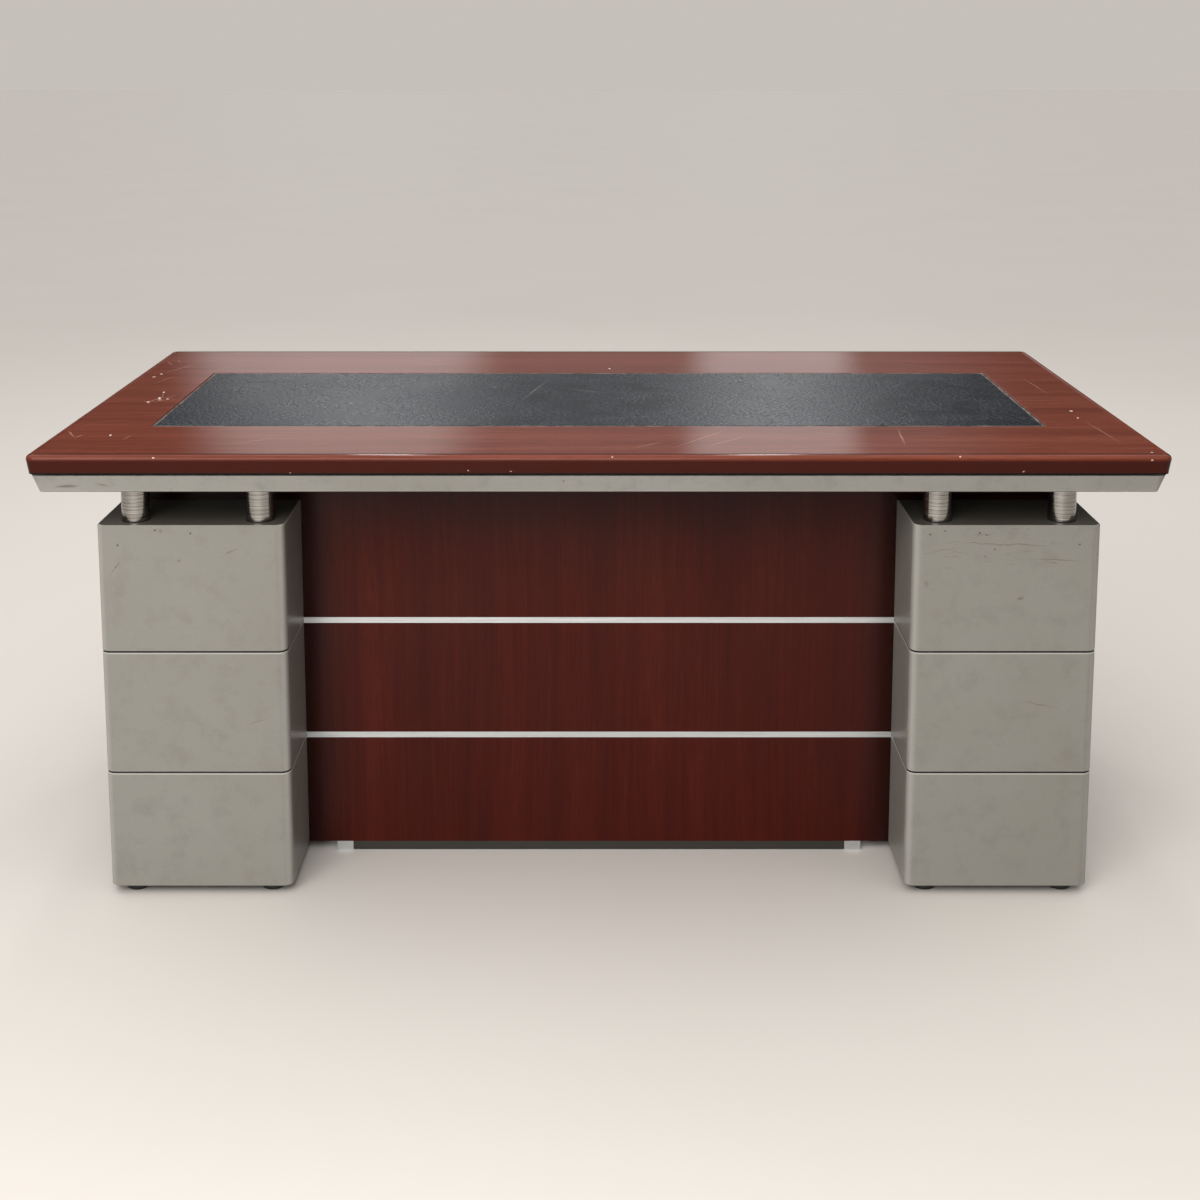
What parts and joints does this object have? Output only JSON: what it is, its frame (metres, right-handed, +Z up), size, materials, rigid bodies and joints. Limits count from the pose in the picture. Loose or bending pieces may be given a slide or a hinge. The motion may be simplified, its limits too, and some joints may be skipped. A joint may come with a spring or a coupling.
{
  "type": "executive desk",
  "caption": "Wide executive desk: lacquered mahogany worktop with a leather inlay, raised on steel standoffs over grey pylons, with drawers and a cupboard at the user's side.",
  "frame": {"origin": "on the floor, under the middle of the worktop", "axes": "+X along the desk, +Y towards the user, +Z up; the visitor's side, with the pylons, faces -Y"},
  "size_m": [1.8, 0.95, 0.76],
  "materials": {
    "mahogany_top": "high-gloss lacquered red mahogany veneer, grain along the desk",
    "mahogany_panel": "gloss lacquered dark red mahogany veneer, grain upright",
    "grey_lacquer": "satin warm grey lacquer on fibreboard",
    "writing_leather": "fine-grained dark grey leather",
    "turned_steel": "turned and brushed stainless steel",
    "aluminium_trim": "satin aluminium",
    "black_rubber": "black rubber",
    "black_plastic": "moulded black plastic",
    "zinc_steel": "bright zinc-plated steel",
    "black_board": "matt black painted packing board",
    "drawer_board": "plain beech-toned melamine board"
  },
  "bodies": {
    "desk": {"apron_back": "grey_lacquer", "apron_front": "grey_lacquer", "apron_left": "grey_lacquer", "apron_right": "grey_lacquer", "cupboard_decks": "mahogany_panel", "cupboard_shelf": "mahogany_panel", "cupboard_sides": "mahogany_panel", "drawer_pedestal_decks": "mahogany_panel", "drawer_pedestal_sides": "mahogany_panel", "glides": "black_plastic", "hinge_board_leaves": "zinc_steel", "hinge_pins": "zinc_steel", "inlay_edging": "black_plastic", "leather_inlay": "writing_leather", "lipping_back": "mahogany_top", "lipping_front": "mahogany_top", "lipping_left": "mahogany_top", "lipping_right": "mahogany_top", "modesty_panel": "mahogany_panel", "panel_plinth": "aluminium_trim", "panel_strips": "aluminium_trim", "pylon_left_base": "grey_lacquer", "pylon_left_lower": "grey_lacquer", "pylon_left_middle": "grey_lacquer", "pylon_left_top": "grey_lacquer", "pylon_left_upper": "grey_lacquer", "pylon_right_base": "grey_lacquer", "pylon_right_lower": "grey_lacquer", "pylon_right_middle": "grey_lacquer", "pylon_right_top": "grey_lacquer", "pylon_right_upper": "grey_lacquer", "shadow_strips": "black_board", "shelf_pins": "zinc_steel", "slide_fixed": "zinc_steel", "standoff_gaskets": "black_rubber", "standoff_left_inner": "turned_steel", "standoff_left_outer": "turned_steel", "standoff_right_inner": "turned_steel", "standoff_right_outer": "turned_steel", "standoff_studs": "zinc_steel", "top_panel": "mahogany_top", "under_rails": "grey_lacquer"},
    "drawer_top": {"drawer_top_front": "mahogany_panel", "drawer_top_handle": "turned_steel", "drawer_top_box": "drawer_board", "slide_top_drawer": "zinc_steel"},
    "slide_top": {"slide_top_middle": "zinc_steel"},
    "drawer_middle": {"drawer_middle_front": "mahogany_panel", "drawer_middle_handle": "turned_steel", "drawer_middle_box": "drawer_board", "slide_middle_drawer": "zinc_steel"},
    "slide_middle": {"slide_middle_middle": "zinc_steel"},
    "drawer_bottom": {"drawer_bottom_front": "mahogany_panel", "drawer_bottom_handle": "turned_steel", "drawer_bottom_box": "drawer_board", "slide_bottom_drawer": "zinc_steel"},
    "slide_bottom": {"slide_bottom_middle": "zinc_steel"},
    "door": {"door_panel": "mahogany_panel", "door_handle": "turned_steel", "hinge_door_leaves": "zinc_steel"}
  },
  "joints": [
    {"name": "drawer_top_slide", "type": "slide", "parent": "desk", "child": "drawer_top", "axis": [0, 1, 0], "range_m": [0, 0.46]},
    {"name": "channel_top_slide", "type": "slide", "parent": "desk", "child": "slide_top", "axis": [0, 1, 0], "range_m": [0, 0.23]},
    {"name": "drawer_middle_slide", "type": "slide", "parent": "desk", "child": "drawer_middle", "axis": [0, 1, 0], "range_m": [0, 0.46]},
    {"name": "channel_middle_slide", "type": "slide", "parent": "desk", "child": "slide_middle", "axis": [0, 1, 0], "range_m": [0, 0.23]},
    {"name": "drawer_bottom_slide", "type": "slide", "parent": "desk", "child": "drawer_bottom", "axis": [0, 1, 0], "range_m": [0, 0.46]},
    {"name": "channel_bottom_slide", "type": "slide", "parent": "desk", "child": "slide_bottom", "axis": [0, 1, 0], "range_m": [0, 0.23]},
    {"name": "door_hinge", "type": "hinge", "parent": "desk", "child": "door", "pos_m": [0.8041, 0.4115, 0.3555], "axis": [0, 0, -1], "range_deg": [0, 105]}
  ],
  "couplings": [
    {"joint": "channel_top_slide", "follows": "drawer_top_slide", "ratio": 0.5},
    {"joint": "channel_middle_slide", "follows": "drawer_middle_slide", "ratio": 0.5},
    {"joint": "channel_bottom_slide", "follows": "drawer_bottom_slide", "ratio": 0.5}
  ]
}
